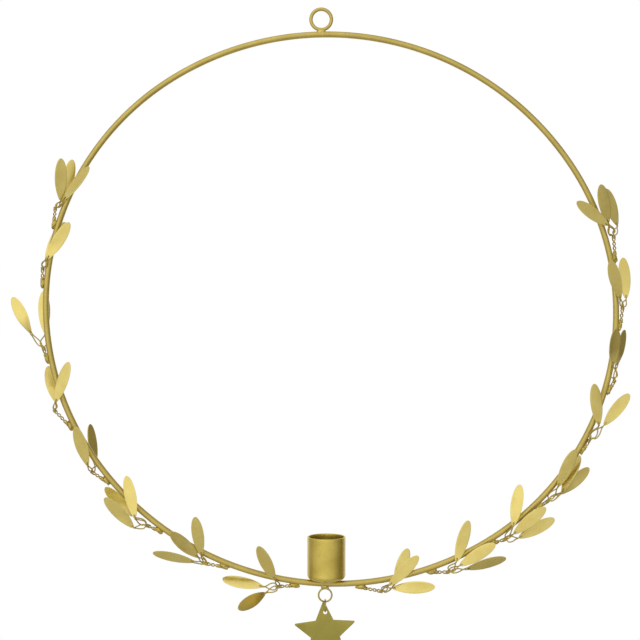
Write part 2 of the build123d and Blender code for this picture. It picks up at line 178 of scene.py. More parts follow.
SPRIGS = [
    Sprig("left_1", 163, 84.4, 10.6, [
        Leaf(58.4, 6.5, 0, 85.4, 20, 12, 6),
        Leaf(52.4, 7.6, -1.5, 79.4, -8, 8, 10),
        Leaf(40.4, 8.6, 2.4, 50.4, 14, -28, -4),
    ]),
    Sprig("left_2", 175, 87.5, 10, [
        Leaf(57.5, 7.7, 2.2, 57.5, 2, -10, 15),
        Leaf(77.5, 7, -2, 64.5, -14, -6, 15),
    ]),
    Sprig("left_3", 190, 104.4, 7.2, [
        Leaf(127.4, 13.6, 0, 118.4, -12, -28, 26),
        Leaf(88.4, 10.6, -2, 91.4, -4, 0, 0),
    ]),
    Sprig("left_4", 204.2, 131.5, 14.6, [
        Leaf(89.5, 6.1, -2, 107.5, -32, 0, 15),
        Leaf(73.5, 6.2, 2.2, 68.5, 4, -10, -7),
    ]),
    Sprig("left_5", 217.5, 143.6, 11.2, [
        Leaf(112.6, 5.6, 2, 101.6, 16, -8, 4),
        Leaf(69.6, 4.2, -2.4, 96.6, -10, 55, 0),
    ]),
    Sprig("left_6", 232.3, 153.4, 8.4, [
        Leaf(180.4, 9.3, 1, 129.4, 16, 10, -15),
        Leaf(148.4, 12.1, -1.5, 136.4, -18, 20, 3),
        Leaf(138.4, 10, 4.4, 101.4, -10, -6, 0),
    ]),
    Sprig("left_7", 247.6, 168.3, 12.1, [
        Leaf(136.3, 7.6, 2, 131.3, 28, 0, 15),
        Leaf(171.3, 8.5, 0, 164.3, 12, -34, 0),
        Leaf(114.3, 7.4, 2.4, 96.3, 20, -6, 0),
    ]),
    Sprig("left_8", 262.6, 183.3, 9.9, [
        Leaf(122.3, 6.4, 2.2, 114.3, 22, 6, -4),
        Leaf(180.3, 11.7, 0, 172.3, -14, 28, 4),
        Leaf(202.3, 10.6, 1, 198.3, 54, 0, 15),
    ]),
    Sprig("right_1", 276, -9.8, 14, [
        Leaf(26.2, 10.6, -2, 66.2, -36, 0, -15),
        Leaf(48.2, 7.6, 5, 42.2, -20, -10, -8),
        Leaf(16.2, 8.2, 0, 5.2, 12, -14, 8),
    ]),
    Sprig("right_2", 291, 2.1, 10.4, [
        Leaf(58.1, 9.6, 2.2, 74.1, -10, -8, 12),
        Leaf(35.1, 9.3, 1.2, 36.1, 12, -14, 2),
        Leaf(12.1, 13, 0, 14.1, -12, 28, 0),
    ]),
    Sprig("right_3", 304.5, 20.7, 8.3, [
        Leaf(64.7, 11.4, 3, 80.7, -16, -10, -7),
        Leaf(38.7, 7.8, 0.6, 45.7, 16, -10, -3),
        Leaf(10.7, 10.2, 0, 27.7, -14, -14, 0),
    ]),
    Sprig("right_4", 316.4, 36.2, 6.5, [
        Leaf(60.2, 12.8, 2.2, 71.2, 18, 0, 3),
        Leaf(38.2, 12, 0.8, 63.2, -18, -45, -4),
        Leaf(32.2, 10.9, 0, 39.2, -22, 15, -7),
    ]),
    Sprig("right_5", 330.7, 61.2, 7.4, [
        Leaf(64.2, 12.6, 2.2, 100.2, 12, 0, 6),
        Leaf(47.2, 14.8, 0, 49.2, -14, -10, -8),
    ]),
    Sprig("right_6", 343.7, 62.3, 7, [
        Leaf(99.3, 11.2, 2, 93.3, 32, 0, 15),
        Leaf(82.3, 10.4, 0, 69.3, -26, 48, -10),
    ]),
    Sprig("right_7", 356.5, 82.4, 12.2, [
        Leaf(111.4, 7.1, 2.2, 108.4, 22, -36, 10),
        Leaf(70.4, 7.2, 0, 90.4, -14, -8, 11),
    ]),
    Sprig("right_8", 10, 92.4, 14.4, [
        Leaf(122.4, 9.1, 3.4, 145.4, 18, 0, 0),
        Leaf(112.4, 10.4, 0.8, 106.4, 28, 4, 0),
        Leaf(73.4, 8.4, 0, 113.4, 26, 0, 0),
    ]),
]

RIGHT = Vector((1, 0, 0))
UP = Vector((0, 0, 1))
TO_VIEWER = Vector((0, -1, 0))
ACROSS = Matrix.Rotation(radians(90), 4, "X")  # turns a flat section across a path round Z


def front_view(angle, tilt=0):
    """Unit vector at an angle in the front view, tilted towards the viewer."""
    in_view = cos(radians(tilt))
    return Vector((cos(radians(angle)) * in_view, -sin(radians(tilt)), sin(radians(angle)) * in_view))


def axes(origin, x_dir, z_dir):
    """Matrix that places a shape with its own X and Z axes along two directions."""
    z = z_dir.normalized()
    x = (x_dir - z * x_dir.dot(z)).normalized()
    y = z.cross(x)
    return Matrix.Translation(origin) @ Matrix((x, y, z)).transposed().to_4x4()


# The hoop's oval: two tighter ends and two flatter sides
half_long = HOOP_LONG / 2
half_short = HOOP_SHORT / 2
end_radius = (half_short - (sqrt(2) - 1) * half_long) / (2 - sqrt(2))
side_radius = half_long + half_short - end_radius
end_centre = half_long - end_radius
side_centre = side_radius - half_short
long_axis = front_view(-HOOP_DIP)
short_axis = front_view(90 - HOOP_DIP)


def hoop_rise(shift, side):
    """Height of the centreline over the hoop's centre, on its upper (1) or lower (-1) side."""
    centre = short_axis * (-side * side_centre)
    return centre.z + side * sqrt(side_radius**2 - (shift - HOOP_SHIFT - centre.x) ** 2)


loop_bottom = -LOOP_INNER - LOOP_WIRE
hoop_centre = Vector((HOOP_SHIFT, 0, loop_bottom - LOOP_GAP - HOOP_WIRE / 2 - hoop_rise(0, 1)))


def hoop_point(angle):
    """Point of the centreline at an angle from the hoop's centre, and the outward direction there."""
    local = radians(angle + HOOP_DIP)
    ray = Vector((cos(local), sin(local)))
    corner = Vector((end_centre + end_radius / sqrt(2), end_radius / sqrt(2)))
    if abs(ray.y) * corner.x < abs(ray.x) * corner.y:
        radius = end_radius
        centre = Vector((end_centre if ray.x > 0 else -end_centre, 0))
    else:
        radius = side_radius
        centre = Vector((0, -side_centre if ray.y > 0 else side_centre))
    along = centre.dot(ray)
    reach = along + sqrt(along**2 + radius**2 - centre.length_squared)
    outward = (ray * reach - centre) / radius
    point = hoop_centre + long_axis * (reach * ray.x) + short_axis * (reach * ray.y)
    return point, long_axis * outward.x + short_axis * outward.y


# Materials


def put(tree, kind, place, **values):
    """Adds a node and sets its named properties."""
    node = tree.nodes.new(kind)
    node.location = place
    for name, value in values.items():
        setattr(node, name, value)
    return node


def feed(tree, value, socket):
    """Links a socket to a value, or sets it where the value is plain numbers."""
    if isinstance(value, bpy.types.NodeSocket):
        tree.links.new(value, socket)
    else:
        socket.default_value = value


def mottle(tree, coords, scale, detail, place):
    """Noise on the piece's own coordinates."""
    node = put(tree, "ShaderNodeTexNoise", place)
    node.inputs["Scale"].default_value = scale
    node.inputs["Detail"].default_value = detail
    feed(tree, coords, node.inputs["Vector"])
    return node.outputs["Fac"]


def spread(tree, value, given, wanted, place):
    """Stretches one range of a value to another."""
    node = put(tree, "ShaderNodeMapRange", place)
    for name, end in zip(("From Min", "From Max", "To Min", "To Max"), (*given, *wanted)):
        node.inputs[name].default_value = end
    feed(tree, value, node.inputs["Value"])
    return node.outputs["Result"]


def combine(tree, operation, first, second, place):
    """Joins two values, each a socket or a number."""
    node = put(tree, "ShaderNodeMath", place, operation=operation)
    feed(tree, first, node.inputs[0])
    feed(tree, second, node.inputs[1])
    return node.outputs[0]


def blend(tree, share, first, second, place):
    """Mixes two colours, each a socket or four numbers."""
    node = put(tree, "ShaderNodeMix", place, data_type="RGBA")
    feed(tree, share, node.inputs["Factor"])
    feed(tree, first, node.inputs[6])
    feed(tree, second, node.inputs[7])
    return node.outputs[2]


COAT_IOR = 1.9
COAT_ROUGH = 0.24
CLOUD_DETAIL = 3
SPECK_DETAIL = 2
GRAIN_DETAIL = 4
SPECK_SCALE = 0.35  # of the grain's
CLOUD_RANGE = (0.35, 0.7)  # of the noise, from the body's tone to the pale one
SPECK_RANGE = (0.56, 0.72)
GLOSS_RANGE = (0.3, 0.75)
GLOSSIER = 0.04
DULLER = 0.06
GRAIN_STRENGTH = 0.05
GRAIN_DEPTH = 0.00012  # metres

# The share by which marked rims turn towards the pale tone is a painted highlight along the edges, and wear
Finish = namedtuple("Finish", "body pale dull rough grain cloud worn specked coat", defaults=(0.45, 1.0))

FINISHES = {
    "hoop_wire": Finish(
        body=(0.53, 0.395, 0.042, 1), pale=(0.61, 0.465, 0.06, 1), dull=(0.38, 0.28, 0.025, 1),
        rough=0.46, grain=2600, cloud=60, worn=0.5, coat=0.7,
    ),
    "braze": Finish(
        body=(0.57, 0.43, 0.055, 1), pale=(0.78, 0.64, 0.14, 1), dull=(0.40, 0.285, 0.03, 1),
        rough=0.48, grain=2200, cloud=300, worn=0.5, coat=0.7,
    ),
    "cup": Finish(
        body=(0.585, 0.435, 0.048, 1), pale=(0.715, 0.56, 0.085, 1), dull=(0.43, 0.31, 0.03, 1),
        rough=0.38, grain=2400, cloud=90, worn=0.8, specked=0.25, coat=0.5,
    ),
    "stem_wire": Finish(
        body=(0.44, 0.335, 0.035, 1), pale=(0.66, 0.50, 0.06, 1), dull=(0.30, 0.22, 0.02, 1),
        rough=0.42, grain=2600, cloud=200, worn=0.5, coat=0.6,
    ),
    "leaf_sheet": Finish(
        body=(0.71, 0.545, 0.075, 1), pale=(0.74, 0.60, 0.11, 1), dull=(0.60, 0.46, 0.06, 1),
        rough=0.34, grain=2800, cloud=120, worn=0.9,
    ),
    "ring_wire": Finish(
        body=(0.43, 0.32, 0.03, 1), pale=(0.52, 0.395, 0.045, 1), dull=(0.31, 0.225, 0.018, 1),
        rough=0.32, grain=3000, cloud=200, worn=0.5, coat=0.6,
    ),
    "star_sheet": Finish(
        body=(0.345, 0.287, 0.017, 1), pale=(0.39, 0.325, 0.025, 1), dull=(0.285, 0.233, 0.014, 1),
        rough=0.40, grain=2600, cloud=70, worn=0.6, coat=0.5,
    ),
}


def satin_brass(name, finish):
    """Satin brass: cloudy tone, fine dull specks, edges lightened by a painted highlight and wear, and fine
    grain in gloss and surface.
    """
    material = bpy.data.materials.new(name)
    material.use_nodes = True
    tree = material.node_tree
    shader = tree.nodes["Principled BSDF"]
    shader.inputs["Metallic"].default_value = 1.0
    shader.inputs["Coat Weight"].default_value = finish.coat
    shader.inputs["Coat IOR"].default_value = COAT_IOR
    shader.inputs["Coat Roughness"].default_value = COAT_ROUGH
    coords = put(tree, "ShaderNodeTexCoord", (-1500, 0)).outputs["Object"]
    clouds = mottle(tree, coords, finish.cloud, CLOUD_DETAIL, (-1300, 300))
    specks = mottle(tree, coords, finish.grain * SPECK_SCALE, SPECK_DETAIL, (-1300, 60))
    fine = mottle(tree, coords, finish.grain, GRAIN_DETAIL, (-1300, -180))
    cloudy = spread(tree, clouds, CLOUD_RANGE, (0, 1), (-1080, 300))
    tone = blend(tree, cloudy, finish.body, finish.pale, (-860, 300))
    speckled = spread(tree, specks, SPECK_RANGE, (0, finish.specked), (-1080, 60))
    tone = blend(tree, speckled, tone, finish.dull, (-640, 200))
    # Marked rims turn towards the pale tone: a painted highlight along the edges, and wear
    edge = put(tree, "ShaderNodeAttribute", (-860, 560), attribute_name="worn").outputs["Fac"]
    edge_share = combine(tree, "MULTIPLY", edge, finish.worn, (-640, 480))
    tone = blend(tree, edge_share, tone, finish.pale, (-420, 260))
    feed(tree, tone, shader.inputs["Base Color"])
    gloss_ends = (finish.rough - GLOSSIER, finish.rough + DULLER)
    gloss = spread(tree, fine, GLOSS_RANGE, gloss_ends, (-640, -60))
    feed(tree, gloss, shader.inputs["Roughness"])
    bump = put(tree, "ShaderNodeBump", (-420, -300))
    bump.inputs["Strength"].default_value = GRAIN_STRENGTH
    bump.inputs["Distance"].default_value = GRAIN_DEPTH
    feed(tree, fine, bump.inputs["Height"])
    feed(tree, bump.outputs["Normal"], shader.inputs["Normal"])
    return material


BRASS = {slot: satin_brass(f"{slot}_brass", finish) for slot, finish in FINISHES.items()}


# Shapes


def add_object(name, data):
    """New object at the scene's origin."""
    thing = bpy.data.objects.new(name, data)
    bpy.context.scene.collection.objects.link(thing)
    return thing


def finish_piece(name, bm, slot, nodes, body="ring", flat_side=None):
    """Scales a shape to metres, gives it its finish and lets it stand for its solids."""
    bmesh.ops.remove_doubles(bm, verts=bm.verts, dist=0.002)
    bmesh.ops.recalc_face_normals(bm, faces=bm.faces)
    for face in bm.faces:
        face.smooth = flat_side is None or abs(face.normal.dot(flat_side)) < 0.999
    bmesh.ops.scale(bm, vec=(MM, MM, MM), verts=bm.verts)
    mesh = bpy.data.meshes.new(name)
    bm.to_mesh(mesh)
    bm.free()
    mesh.set_sharp_from_angle(angle=radians(SHARP_EDGE))
    mesh.materials.append(BRASS[slot])
    piece = add_object(name, mesh)
    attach(piece, body)
    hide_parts(*nodes)


def mark_edge_highlight_and_wear(bm, is_bright_edge):
    """Notes the points that a painted edge highlight and wear make bright."""
    layer = bm.verts.layers.float.new("worn")
    for vert in bm.verts:
        vert[layer] = float(is_bright_edge(vert))


def wobble(bm, amount, size, seed):
    """Moves points a little, as in hand work, by a smooth noise."""
    for vert in bm.verts:
        vert.co += noise.noise_vector(vert.co / size + Vector((seed * 7.3, seed * 1.7, 0))) * amount


def wire_section(bm, place, wire, sides):
    """Round section of a wire, across the Z axis of a place."""
    ring = bmesh.ops.create_circle(bm, segments=sides, radius=wire / 2, matrix=place)["verts"]
    return ring + list(dict.fromkeys(edge for vert in ring for edge in vert.link_edges))


def wire_ring(bm, place, radius, wire, steps, sides):
    """Closed ring of round wire about the Z axis of a place."""
    section = wire_section(bm, place @ Matrix.Translation((radius, 0, 0)) @ ACROSS, wire, sides)
    bmesh.ops.spin(
        bm, geom=section, cent=place.translation, axis=place.col[2].to_3d(), angle=2 * pi,
        steps=steps, use_merge=True,
    )


def wires(bm, routes, wire):
    """Round wires along smooth routes."""
    data = bpy.data.curves.new("route", "CURVE")
    data.dimensions = "3D"
    data.bevel_depth = wire / 2
    data.bevel_resolution = 3
    data.use_fill_caps = True
    data.resolution_u = 3
    for route in routes:
        spline = data.splines.new("NURBS")
        spline.points.add(len(route) - 1)
        for point, place in zip(spline.points, route):
            point.co = (*place, 1)
        spline.order_u = 3
        spline.use_endpoint_u = True
    carrier = add_object("route", data)
    mesh = bpy.data.meshes.new_from_object(carrier.evaluated_get(bpy.context.evaluated_depsgraph_get()))
    bm.from_mesh(mesh)
    bpy.data.objects.remove(carrier)
    bpy.data.curves.remove(data)
    bpy.data.meshes.remove(mesh)


def lump(bm, place, size, seed, rough):
    """Drop of braze: a rounded block with an uneven skin."""
    verts = bmesh.ops.create_icosphere(bm, subdivisions=4, radius=1)["verts"]
    for vert in verts:
        bulge = 1 + rough * noise.noise(vert.co * 1.6 + Vector((seed * 3.1, 0, seed)))
        vert.co = Vector([c * s / 2 * bulge for c, s in zip(vert.co, size)])
    bmesh.ops.transform(bm, matrix=place, verts=verts)


def drip(bm, origin, drops):
    """Drops of braze about a point."""
    for drop in drops:
        place = Matrix.Translation(Vector(origin) + Vector(drop.offset))
        lump(bm, place, drop.size, drop.seed, drop.rough)


def arc(out, up, radius, angles):
    """Points of an arc in the profile of a turned piece."""
    return [(out + radius * cos(radians(angle)), up + radius * sin(radians(angle))) for angle in angles]


def punch(bm, hole, width, sides, around):
    """Round hole in a flat sheet, cut side by side through the faces around it."""
    for step in range(sides):
        outward = Vector((cos(2 * pi * step / sides), sin(2 * pi * step / sides), 0))
        near = [face for face in bm.faces if (face.calc_center_median() - hole).length < around]
        edges = dict.fromkeys(edge for face in near for edge in face.edges)
        verts = dict.fromkeys(vert for face in near for vert in face.verts)
        bmesh.ops.bisect_plane(
            bm, geom=[*near, *edges, *verts], dist=0.0001, plane_co=hole + outward * width / 2,
            plane_no=outward,
        )
    inside = [face for face in bm.faces if (face.calc_center_median() - hole).length < width / 2 * 0.97]
    bmesh.ops.delete(bm, geom=inside, context="FACES")


def thicken(bm, sheet):
    """Gives a flat sheet its thickness, and finds the rims of its two faces."""
    walls = bmesh.ops.extrude_face_region(bm, geom=list(bm.faces))["geom"]
    moved = [item for item in walls if isinstance(item, bmesh.types.BMVert)]
    bmesh.ops.translate(bm, vec=(0, 0, sheet), verts=moved)
    bmesh.ops.translate(bm, vec=(0, 0, -sheet / 2), verts=bm.verts)
    bmesh.ops.recalc_face_normals(bm, faces=bm.faces)
    steep = [edge for edge in bm.edges if edge.is_manifold and edge.calc_face_angle() > radians(RIM_ANGLE)]
    return [edge for edge in steep if abs(edge.verts[0].co.z - edge.verts[1].co.z) < 0.1]


def ease(bm, rims, width):
    """Rounds the rims of a sheet."""
    bmesh.ops.bevel(bm, geom=rims, offset=width, segments=2, profile=0.5, affect="EDGES", material=-1)


# Hoop: a round section carried round the four arcs of the oval, end, side, end and side
bm = bmesh.new()
hoop_place = axes(hoop_centre, long_axis, TO_VIEWER)
first_end = Matrix.Translation((end_centre, 0, 0)) @ Matrix.Rotation(radians(-45), 4, "Z")
section_place = first_end @ Matrix.Translation((end_radius, 0, 0)) @ ACROSS
section = wire_section(bm, hoop_place @ section_place, HOOP_WIRE, HOOP_SIDES)
for x, y in ((end_centre, 0), (0, -side_centre), (-end_centre, 0), (0, side_centre)):
    section = bmesh.ops.spin(
        bm, geom=section, cent=hoop_place @ Vector((x, y, 0)), axis=TO_VIEWER, angle=radians(90),
        steps=HOOP_ARC_STEPS,
    )["geom_last"]
finish_piece("hoop_wire", bm, "hoop_wire", ["hoop"])

# Hanging loop
bm = bmesh.new()
loop_place = axes(Vector((0, 0, -LOOP_INNER / 2)), RIGHT, TO_VIEWER)
wire_ring(bm, loop_place, (LOOP_INNER + LOOP_WIRE) / 2, LOOP_WIRE_SEEN, LOOP_STEPS, LOOP_SIDES)
finish_piece("hanging_ring", bm, "hoop_wire", ["hanging_loop"])

# Its braze: a web with hollow sides, and a bead round the hoop's butt joint
bm = bmesh.new()
web_low = loop_bottom - LOOP_GAP - HOOP_WIRE / 2
web_high = loop_bottom + WEB_CLIMB
bmesh.ops.create_cube(bm, size=1)
bmesh.ops.subdivide_edges(bm, edges=list(bm.edges), cuts=WEB_CUTS, use_grid_fill=True)
for vert in bm.verts:
    height = vert.co.z + 0.5
    width = WEB_WIDTH - WEB_NARROWING * height**0.6
    rounding = sqrt(max(WEB_LEAST_ROUND, 1 - (2 * vert.co.x) ** 4))
    thick = (WEB_THICKNESS - WEB_THINNING * height) * rounding
    vert.co = Vector((vert.co.x * width, vert.co.y * thick, web_low + height * (web_high - web_low)))
for _ in range(2):
    bmesh.ops.smooth_vert(
        bm, verts=bm.verts, factor=0.5, use_axis_x=True, use_axis_y=True, use_axis_z=True
    )
wobble(bm, WEB_WOBBLE, WEB_WOBBLE_SIZE, 1)
drip(bm, (0, 0, web_low), [BEAD])
finish_piece("loop_braze", bm, "braze", ["loop_braze"])

# Candle cup: a turned wall with a rounded lip, rounded corners and slight dents
cup_base = hoop_centre.z + hoop_rise(CUP_SHIFT, -1) + HOOP_WIRE / 2 + BRAZE_GAP
cup_inner = CUP_BORE / 2
cup_outer = cup_inner + CUP_WALL
profile = [(0, CUP_FLOOR), (CUP_MIDDLE, CUP_FLOOR), (CUP_FLAT, CUP_FLOOR)]
profile += arc(
    cup_inner - CUP_INNER_CORNER, CUP_FLOOR + CUP_INNER_CORNER, CUP_INNER_CORNER, range(-90, 1, 18)
)
profile += [(cup_inner, CUP_HEIGHT * level) for level in CUP_LEVELS]
profile += arc(cup_inner + CUP_LIP, CUP_HEIGHT - CUP_LIP, CUP_LIP, range(180, -1, -20))
profile += [(cup_outer, CUP_HEIGHT * level) for level in (*reversed(CUP_LEVELS), CUP_LOW_LEVEL)]
profile += arc(cup_outer - CUP_CORNER, CUP_CORNER, CUP_CORNER, range(0, -91, -10))
profile += [(CUP_MIDDLE, 0), (0, 0)]
bm = bmesh.new()
line = [bm.verts.new((CUP_SHIFT + radius, 0, cup_base + height)) for radius, height in profile]
path = [bm.edges.new(pair) for pair in zip(line, line[1:])]
bmesh.ops.spin(
    bm, geom=line + path, cent=(CUP_SHIFT, 0, cup_base), axis=UP, angle=2 * pi, steps=CUP_STEPS,
    use_merge=True,
)
# The lip is marked to be lightened: a painted highlight and wear
mark_edge_highlight_and_wear(bm, lambda vert: vert.co.z > cup_base + CUP_HEIGHT - CUP_LIP)
for vert in bm.verts:
    from_axis = Vector((vert.co.x - CUP_SHIFT, vert.co.y, 0))
    if from_axis.length > DENT_FROM:
        outward = from_axis.normalized()
        spot = outward * DENT_AROUND + UP * ((vert.co.z - cup_base) / DENT_HEIGHT)
        vert.co += outward * (DENT_DEPTH * noise.noise(spot) - DENT_SINK)
finish_piece("candle_cup", bm, "cup", ["candle_cup"])

# Braze between the cup's floor and the hoop
bm = bmesh.new()
drip(bm, (CUP_SHIFT, 0, cup_base), CUP_DROPS)
finish_piece("cup_braze", bm, "braze", ["cup_braze"])

# Pendant ring and its braze
pendant_top = hoop_centre.z + hoop_rise(PENDANT_SHIFT, -1) - HOOP_WIRE / 2 - BRAZE_GAP
pendant_centre = pendant_top - PENDANT_RING / 2
pendant_place = axes(Vector((PENDANT_SHIFT, 0, pendant_centre)), RIGHT, TO_VIEWER)
pendant_radius = PENDANT_RING / 2 - RING_WIRE + RING_WIRE_SEEN / 2
bm = bmesh.new()
wire_ring(bm, pendant_place, pendant_radius, RING_WIRE_SEEN, RING_STEPS, RING_SIDES)
finish_piece("pendant_ring", bm, "ring_wire", ["pendant_ring"])
bm = bmesh.new()
drip(bm, (PENDANT_SHIFT, 0, pendant_top), PENDANT_DROPS)
finish_piece("pendant_braze", bm, "braze", ["pendant_braze"])

# Link ring: hangs in the pendant ring, with the star's tip in front of that
arm_step = 360 / STAR_ARMS
waist_side = STAR_WAIST * sin(radians(arm_step / 2))
waist_up = STAR_WAIST * cos(radians(arm_step / 2))
arm_half_angle = atan2(waist_side, STAR_REACH - waist_up)
tip_reach = STAR_REACH - STAR_TIP_RADIUS * (1 / sin(arm_half_angle) - 1)
tip_front = RING_WIRE / 2 + SWING_GAP + STAR_SHEET / 2
star_tilt = asin(tip_front / tip_reach)
hole_front = STAR_HOLE_OUT * sin(star_tilt)
link_inner = (tip_reach - STAR_HOLE_OUT - STAR_HOLE / 2 + LINK_ROOM) / 2
link_front = tip_front / 2
pendant_wire = pendant_centre - (PENDANT_RING - RING_WIRE) / 2
link_drop = sqrt((link_inner - RING_WIRE / 2 - HANG_GAP) ** 2 - link_front**2)
link_centre = Vector((PENDANT_SHIFT, -link_front, pendant_wire - link_drop))
link_place = axes(link_centre, -TO_VIEWER, RIGHT)
bm = bmesh.new()
wire_ring(bm, link_place, link_inner + RING_WIRE_SEEN / 2, RING_WIRE_SEEN, RING_STEPS, RING_SIDES)
finish_piece("link_ring", bm, "ring_wire", ["link_ring"], "link")

# Star: a flat sheet with rounded tips, hung by the hole in its top arm
sheet_off_link = abs(hole_front - link_front) + STAR_SHEET / 2
hole_top = link_centre.z - sqrt(link_inner**2 - sheet_off_link**2) + HANG_GAP
star_up = Vector((0, -sin(star_tilt), cos(star_tilt)))
star_centre = Vector((PENDANT_SHIFT, -hole_front, hole_top - STAR_HOLE / 2)) - star_up * STAR_HOLE_OUT
star_right = RIGHT * cos(radians(STAR_LEAN)) + star_up * sin(radians(STAR_LEAN))
star_face = RIGHT.cross(star_up)
bm = bmesh.new()
corners = bmesh.ops.create_circle(bm, cap_ends=True, segments=2 * STAR_ARMS, radius=1)["verts"]
for step, vert in enumerate(corners):
    angle = radians(90 + step * arm_step / 2)
    radius = STAR_WAIST if step % 2 else STAR_REACH
    vert.co = Vector((radius * cos(angle), radius * sin(angle), 0))
tips = [vert for vert in bm.verts if vert.co.length > (STAR_WAIST + STAR_REACH) / 2]
bmesh.ops.bevel(
    bm, geom=tips, offset=STAR_TIP_RADIUS / tan(arm_half_angle), offset_type="OFFSET",
    segments=STAR_TIP_STEPS, profile=0.5, affect="VERTICES", material=-1, clamp_overlap=False,
)
bmesh.ops.triangulate(bm, faces=list(bm.faces))
hole_angle = radians(90 - STAR_LEAN)
hole = Vector((STAR_HOLE_OUT * cos(hole_angle), STAR_HOLE_OUT * sin(hole_angle), 0))
punch(bm, hole, STAR_HOLE, sides=16, around=7)
ease(bm, thicken(bm, STAR_SHEET), STAR_EDGE)
bm.normal_update()
eased = {face for face in bm.faces if 0.1 < abs(face.normal.z) < 0.99}
# The eased edges are marked to be lightened: a painted highlight and wear
mark_edge_highlight_and_wear(bm, lambda vert: eased.issuperset(vert.link_faces))
bmesh.ops.transform(bm, matrix=axes(star_centre, star_right, star_face), verts=bm.verts)
finish_piece("star", bm, "star_sheet", ["star"], "star", star_face)


# Sprigs


def stem_axis(sprig):
    """Start of a sprig's stem beside the hoop, its direction, the hoop's outward direction there, and how
    far the oval turns the sprig."""
    point, outward = hoop_point(sprig.foot)
    oval_turn = degrees(atan2(outward.z, outward.x)) - sprig.foot
    start = point + outward * (HOOP_WIRE / 2 + STEM_STAND)
    return start, front_view(sprig.aim + oval_turn), outward, oval_turn


def leaf_place(knot, leaf, oval_turn):
    """Place of a leaf: origin at its base, X along it, Z out of its face."""
    before_hoop = 0
    if leaf.front:
        before_hoop = leaf.front + (HOOP_WIRE / 2 if leaf.front > 0 else -HOOP_WIRE / 2)
    base = knot + front_view(leaf.stalk + oval_turn) * leaf.reach + TO_VIEWER * before_hoop
    aim = leaf.aim + oval_turn
    along = front_view(aim, leaf.tilt)
    face = Quaternion(along, radians(leaf.turn)) @ front_view(aim, leaf.tilt + 90)
    return axes(base, along, face)


def leaf_half_width(along):
    """Half the leaf's width at a distance from its base."""
    if along >= LEAF_BROADEST:
        part = (along - LEAF_BROADEST) / (LEAF_LENGTH - LEAF_BROADEST)
        return LEAF_WIDTH / 2 * sqrt(max(0, 1 - part**2))
    rise = (LEAF_WIDTH - LEAF_BASE) / 2
    radius = (LEAF_BROADEST**2 + rise**2) / (2 * rise)
    return LEAF_WIDTH / 2 - radius + sqrt(radius**2 - (LEAF_BROADEST - along) ** 2)


def leaf_blade(place, seed, twist):
    """Stamped leaf: a thin sheet with a threading hole and eased edges, slightly bowed and twisted."""
    bm = bmesh.new()
    bmesh.ops.create_grid(bm, x_segments=LEAF_ROWS, y_segments=LEAF_COLUMNS, size=0.5)
    for vert in bm.verts:
        along = LEAF_LENGTH * sin((vert.co.x + 0.5) * pi / 2) ** LEAF_ROW_POWER
        vert.co = Vector((along, 2 * vert.co.y * leaf_half_width(along), 0))
    bmesh.ops.remove_doubles(bm, verts=bm.verts, dist=0.01)
    punch(bm, RIGHT * LEAF_HOLE_IN, LEAF_HOLE, sides=10, around=1.6)
    rims = thicken(bm, LEAF_SHEET)
    rim_edges = set(rims)
    # The points on the rims are marked to be lightened: a painted highlight and wear
    mark_edge_highlight_and_wear(bm, lambda vert: not rim_edges.isdisjoint(vert.link_edges))
    ease(bm, rims, LEAF_EDGE)
    bow = LEAF_BEND * noise.noise(Vector((seed * 1.37, 0.4, 0)))
    hollow = LEAF_BEND * noise.noise(Vector((0.2, seed * 2.11, 0.7)))
    for vert in bm.verts:
        part = max(0, vert.co.x - LEAF_FLAT) / LEAF_LENGTH
        across = vert.co.y / (LEAF_WIDTH / 2)
        vert.co.z += 2 * bow * part * part + hollow * min(1, 2 * part) * across * across
        vert.co.z += LEAF_RIPPLE * noise.noise(Vector((vert.co.x / 5, vert.co.y / 4, seed)))
        vert.co.rotate(Quaternion(RIGHT, radians(twist) * min(1, 3 * part)))
    bmesh.ops.transform(bm, matrix=place, verts=bm.verts)
    return bm


def coil(bm, start, along, length, turns, radius, outward, tangent):
    """Stem wire wound about a line, from a start to one side of it."""
    section = wire_section(bm, axes(start + outward * radius, outward, tangent), STEM_WIRE, STEM_SIDES)
    steps = round(turns * COIL_STEPS)
    bmesh.ops.spin(
        bm, geom=section, cent=start, axis=along, dvec=along * (length / steps), angle=2 * pi * turns,
        steps=steps,
    )


def twisted_pair(bm, start, knot):
    """Two wires of a stem, wound about each other."""
    along = (knot - start).normalized()
    length = (knot - start).length
    turns = max(1, round(2 * length / TWIST_PITCH)) / 2
    lean = atan2(2 * pi * TWIST_RADIUS * turns, length)
    for phase in (0, 180):
        outward = Quaternion(along, radians(phase)) @ TO_VIEWER
        tangent = along * cos(lean) + along.cross(outward) * sin(lean)
        coil(bm, start, along, length, turns, TWIST_RADIUS, outward, tangent)


def wrapping(bm, knot, along, seed):
    """Wire wound round the fork, close turn upon turn."""
    length = STEM_WIRE * WRAP_TURNS
    outward = Quaternion(along, seed * 1.9) @ TO_VIEWER
    start = knot - along * (length / 2)
    coil(bm, start, along, length, WRAP_TURNS, WRAP_RADIUS, outward, along.cross(outward))


